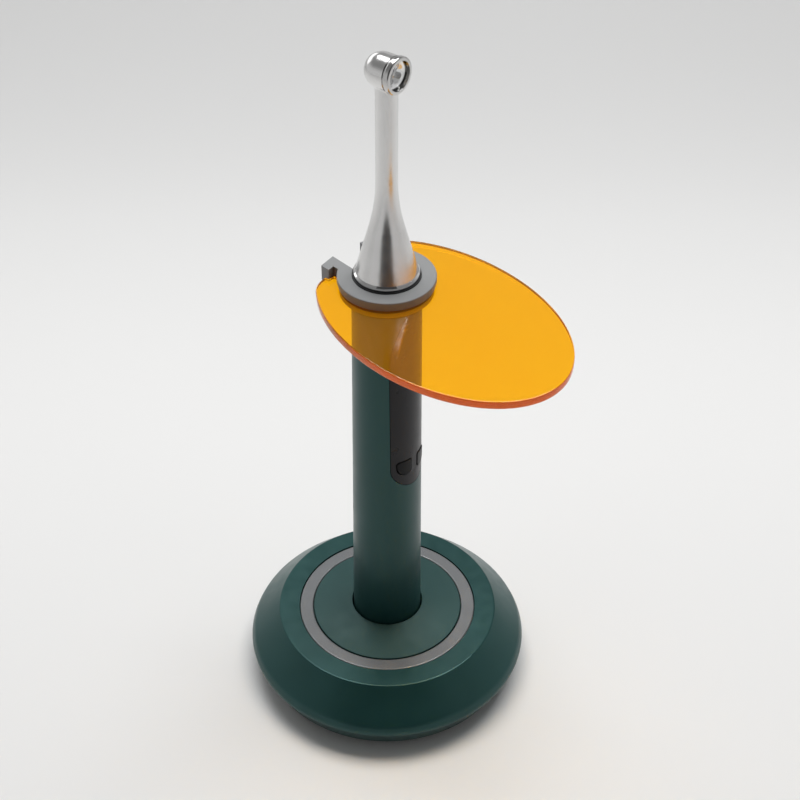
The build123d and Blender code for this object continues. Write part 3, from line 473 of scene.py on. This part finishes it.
# Display, board, switches and screws behind the panel: a small dark glass display, two
# click switches in black cases and two steel screws, all on the handset's board.
display_glass = new_finish("display_glass", (0.006, 0.007, 0.010), 0.08)
vary_colour(display_glass, speckle(display_glass, 0.006), (0.005, 0.006, 0.009), (0.008, 0.009, 0.013))
vary_roughness(display_glass, speckle(display_glass, 0.003), 0.05, 0.12)
raise_grain(display_glass, speckle(display_glass, 0.004), 0.000002)
dress("display_module", display_glass)
dress("control_board", circuit_board)
dress("button_switches", moulded_black)
dress("board_screws", steel)

# Carrier and cell: a cradle of black plastic, and in it a round cell in a shrunk sleeve
# with fine lengthwise creases. A steel spring leaf presses on its end.
sleeve_grey = (0.16, 0.19, 0.21)

cell_sleeve = new_finish("cell_sleeve", sleeve_grey, 0.34)
vary_colour(cell_sleeve, speckle(cell_sleeve, 0.010), (0.14, 0.17, 0.19), (0.18, 0.21, 0.23))
vary_roughness(cell_sleeve, speckle(cell_sleeve, 0.002), 0.28, 0.42)
raise_grain(cell_sleeve, speckle(cell_sleeve, 0.0012, 3, stretch=(1, 1, 0.1)), 0.00002)
dress("inner_frame", moulded_black)
dress("battery_cell", cell_sleeve)
dress("battery_contact", steel)

# Foot of the handset: a cap moulded in black plastic that plugs into the tube, sealed
# by a rubber ring, with the two gilded pads that meet the charging pins.
dress("end_cap", moulded_black)
dress("end_seal", rubber)
dress("contact_pads", gold)

# Nose and head socket: a hard black collar pushed into the top of the handle, polished
# where it shows, and the socket in it that the head's plug turns in.
nose_black = new_finish("polished_black", (0.008, 0.008, 0.009), 0.16)
vary_colour(nose_black, speckle(nose_black, 0.004), (0.007, 0.007, 0.008), (0.010, 0.010, 0.011))
vary_roughness(nose_black, speckle(nose_black, 0.002, 4), 0.12, 0.22)
raise_grain(nose_black, speckle(nose_black, 0.0008), 0.000002)
dress("nose_collar", nose_black)
dress("head_socket", moulded_black)

# Grip band: a soft black sleeve on the nose, moulded in silicone with a matt skin. The
# filter's ring is pushed onto it.
band_black = (0.010, 0.010, 0.011)
soft_band = new_finish("soft_black", band_black, 0.5)
vary_colour(soft_band, speckle(soft_band, 0.003), band_black, (0.015, 0.015, 0.016))
vary_roughness(soft_band, speckle(soft_band, 0.0015), 0.42, 0.58)
raise_grain(soft_band, speckle(soft_band, 0.0004, 2), 0.000008)
dress("grip_band", soft_band)

# Clip ring: a split ring with two finger tabs, moulded in grey nylon with a fine
# spark-eroded face. Its tabs hook over the rear edge of the filter plate.
clip_grey = (0.235, 0.240, 0.243)

grey_nylon = new_finish("grey_nylon", clip_grey, 0.46)
vary_colour(grey_nylon, speckle(grey_nylon, 0.008, 3), (0.225, 0.230, 0.233), (0.247, 0.252, 0.255))
vary_roughness(grey_nylon, speckle(grey_nylon, 0.002, 4), 0.40, 0.54)
raise_grain(grey_nylon, speckle(grey_nylon, 0.0004, 2), 0.000008)
dress("clip_ring", grey_nylon)

# Filter plate: an oval cut from orange acrylic sheet, with its edge polished. The dye is
# right through the sheet and reddest along the edge; a faint painted glow shines on it alike in light
# and shade.
sheet_orange = (1.0, 0.65, 0.04)
sheet_bend_of_light = 1.49
sheet_clearness = 0.945
dye_colour = (0.9982, 0.963, 0.0)
dye_density = 2600.0
wipe_marks = 0.02
painted_glow_colour = (1.0, 0.22, 0.0)
painted_glow_strength = 0.04
weld_gap = 1e-6
flat_within = radians(0.2)
plate_crease = 50
least_flat_face = 0.0001

orange_sheet = new_finish("orange_acrylic", sheet_orange, wipe_marks)
tree = orange_sheet.node_tree
shader = tree.nodes["Principled BSDF"]
shader.inputs["Transmission Weight"].default_value = sheet_clearness
shader.inputs["IOR"].default_value = sheet_bend_of_light
# Painted light: a faint constant red-orange glow, whatever light falls on the plate.
shader.inputs["Emission Color"].default_value = (*painted_glow_colour, 1)
shader.inputs["Emission Strength"].default_value = painted_glow_strength
dye = tree.nodes.new("ShaderNodeVolumeAbsorption")
dye.inputs["Color"].default_value = (*dye_colour, 1)
dye.inputs["Density"].default_value = dye_density
tree.links.new(dye.outputs["Volume"], tree.nodes["Material Output"].inputs["Volume"])
vary_colour(orange_sheet, speckle(orange_sheet, 0.02, 1), (1.0, 0.64, 0.038), (1.0, 0.66, 0.042))
vary_roughness(orange_sheet, speckle(orange_sheet, 0.008, 4), 0.01, wipe_marks)
raise_grain(orange_sheet, speckle(orange_sheet, 0.03, 1), 0.000002)

shape = bmesh.new()
shape.from_mesh(nodes["shield_plate"].data)
bmesh.ops.remove_doubles(shape, verts=shape.verts, dist=weld_gap)
bmesh.ops.dissolve_limit(shape, angle_limit=flat_within, verts=shape.verts, edges=shape.edges)
bmesh.ops.recalc_face_normals(shape, faces=shape.faces)
filter_plate = put_in_scene("filter_plate", shape, orange_sheet, crease=plate_crease)
for face in filter_plate.data.polygons:
    if face.area > least_flat_face:
        for corner in face.loop_indices:
            edge = filter_plate.data.loops[corner].edge_index
            filter_plate.data.edges[edge].use_edge_sharp = True
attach(filter_plate, "filter")
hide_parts("shield_plate")
filter_plate.visible_shadow = False  # the dyed sheet throws hardly any shadow

# Head: cone, neck and ball turned and drawn from one piece of aluminium, then blasted
# fine, so that it shines softly and shows faint lines round it.
head_silver = (0.70, 0.695, 0.688)
lathe_pitch = 0.0005

blasted_silver = new_finish("blasted_silver", head_silver, 0.21, 1)
vary_colour(blasted_silver, speckle(blasted_silver, 0.01, 2), (0.68, 0.675, 0.668), (0.72, 0.715, 0.708))
vary_roughness(blasted_silver, speckle(blasted_silver, 0.003, 4), 0.185, 0.235)
raise_grain(blasted_silver, rings_round(blasted_silver, lathe_pitch, waver=3), 0.0000015)
dress("head_shell", blasted_silver)

# Bead and bezel: two polished steel rings, one under the cone and one round the lens,
# each turned with a bright chamfer and pressed on.
bright = (0.78, 0.775, 0.77)
bezel_grey = (0.56, 0.555, 0.55)
polish_pitch = 0.0004
bezel_axis_height = 0.245

polished_bead = new_finish("polished_bead", bright, 0.06, 1)
vary_colour(polished_bead, speckle(polished_bead, 0.004), (0.75, 0.745, 0.74), (0.80, 0.795, 0.79))
vary_roughness(polished_bead, speckle(polished_bead, 0.0015, 4), 0.04, 0.10)
raise_grain(polished_bead, rings_round(polished_bead, polish_pitch, waver=2), 0.0000004)
dress("head_bead", polished_bead)

polished_bezel = new_finish("polished_bezel", bezel_grey, 0.14, 1)
bezel_turn = (radians(90), 0, 0)
bezel_shift = (0, bezel_axis_height, 0)
bezel_lines = rings_round(polished_bezel, polish_pitch, bezel_shift, bezel_turn, waver=2)
vary_colour(polished_bezel, speckle(polished_bezel, 0.003), (0.53, 0.525, 0.52), (0.59, 0.585, 0.58))
vary_roughness(polished_bezel, speckle(polished_bezel, 0.0015, 4), 0.11, 0.18)
raise_grain(polished_bezel, bezel_lines, 0.0000004)
dress("lens_bezel", polished_bezel)

# Light source: a ground glass lens over a bright reflector, and at its bottom the blue
# emitter under its yellow phosphor, on a small board.
glass_bend_of_light = 1.52

clear_glass = new_finish("clear_glass", (1, 1, 1), 0.01)
shader = clear_glass.node_tree.nodes["Principled BSDF"]
shader.inputs["Transmission Weight"].default_value = 1
shader.inputs["IOR"].default_value = glass_bend_of_light
vary_colour(clear_glass, speckle(clear_glass, 0.004), (0.97, 0.98, 0.98), (1, 1, 1))
vary_roughness(clear_glass, speckle(clear_glass, 0.002), 0.0, 0.02)
raise_grain(clear_glass, speckle(clear_glass, 0.003), 0.000001)
dress("lens", clear_glass)

mirror_coat = new_finish("mirror_coat", (0.86, 0.86, 0.86), 0.08, 1)
vary_colour(mirror_coat, speckle(mirror_coat, 0.002), (0.83, 0.83, 0.83), (0.88, 0.88, 0.88))
vary_roughness(mirror_coat, speckle(mirror_coat, 0.001, 4), 0.05, 0.12)
raise_grain(mirror_coat, speckle(mirror_coat, 0.0008), 0.000003)
dress("reflector", mirror_coat)

emitter_board = new_finish("white_ceramic", (0.55, 0.56, 0.56), 0.4)
vary_colour(emitter_board, speckle(emitter_board, 0.001), (0.50, 0.51, 0.51), (0.60, 0.61, 0.61))
vary_roughness(emitter_board, speckle(emitter_board, 0.0008), 0.35, 0.5)
raise_grain(emitter_board, speckle(emitter_board, 0.0002), 0.000003)
dress("led_board", emitter_board)

phosphor = new_finish("phosphor", (0.72, 0.52, 0.06), 0.5)
vary_colour(phosphor, speckle(phosphor, 0.0003, 4), (0.64, 0.45, 0.04), (0.78, 0.58, 0.09))
vary_roughness(phosphor, speckle(phosphor, 0.0004), 0.42, 0.6)
raise_grain(phosphor, speckle(phosphor, 0.00015), 0.000006)
dress("led_emitter", phosphor)

# Lead and plug: a black lead that runs down the neck, and the gilded plug on the
# spindle under the head.
dress("neck_lead", rubber)
dress("head_plug", gold)
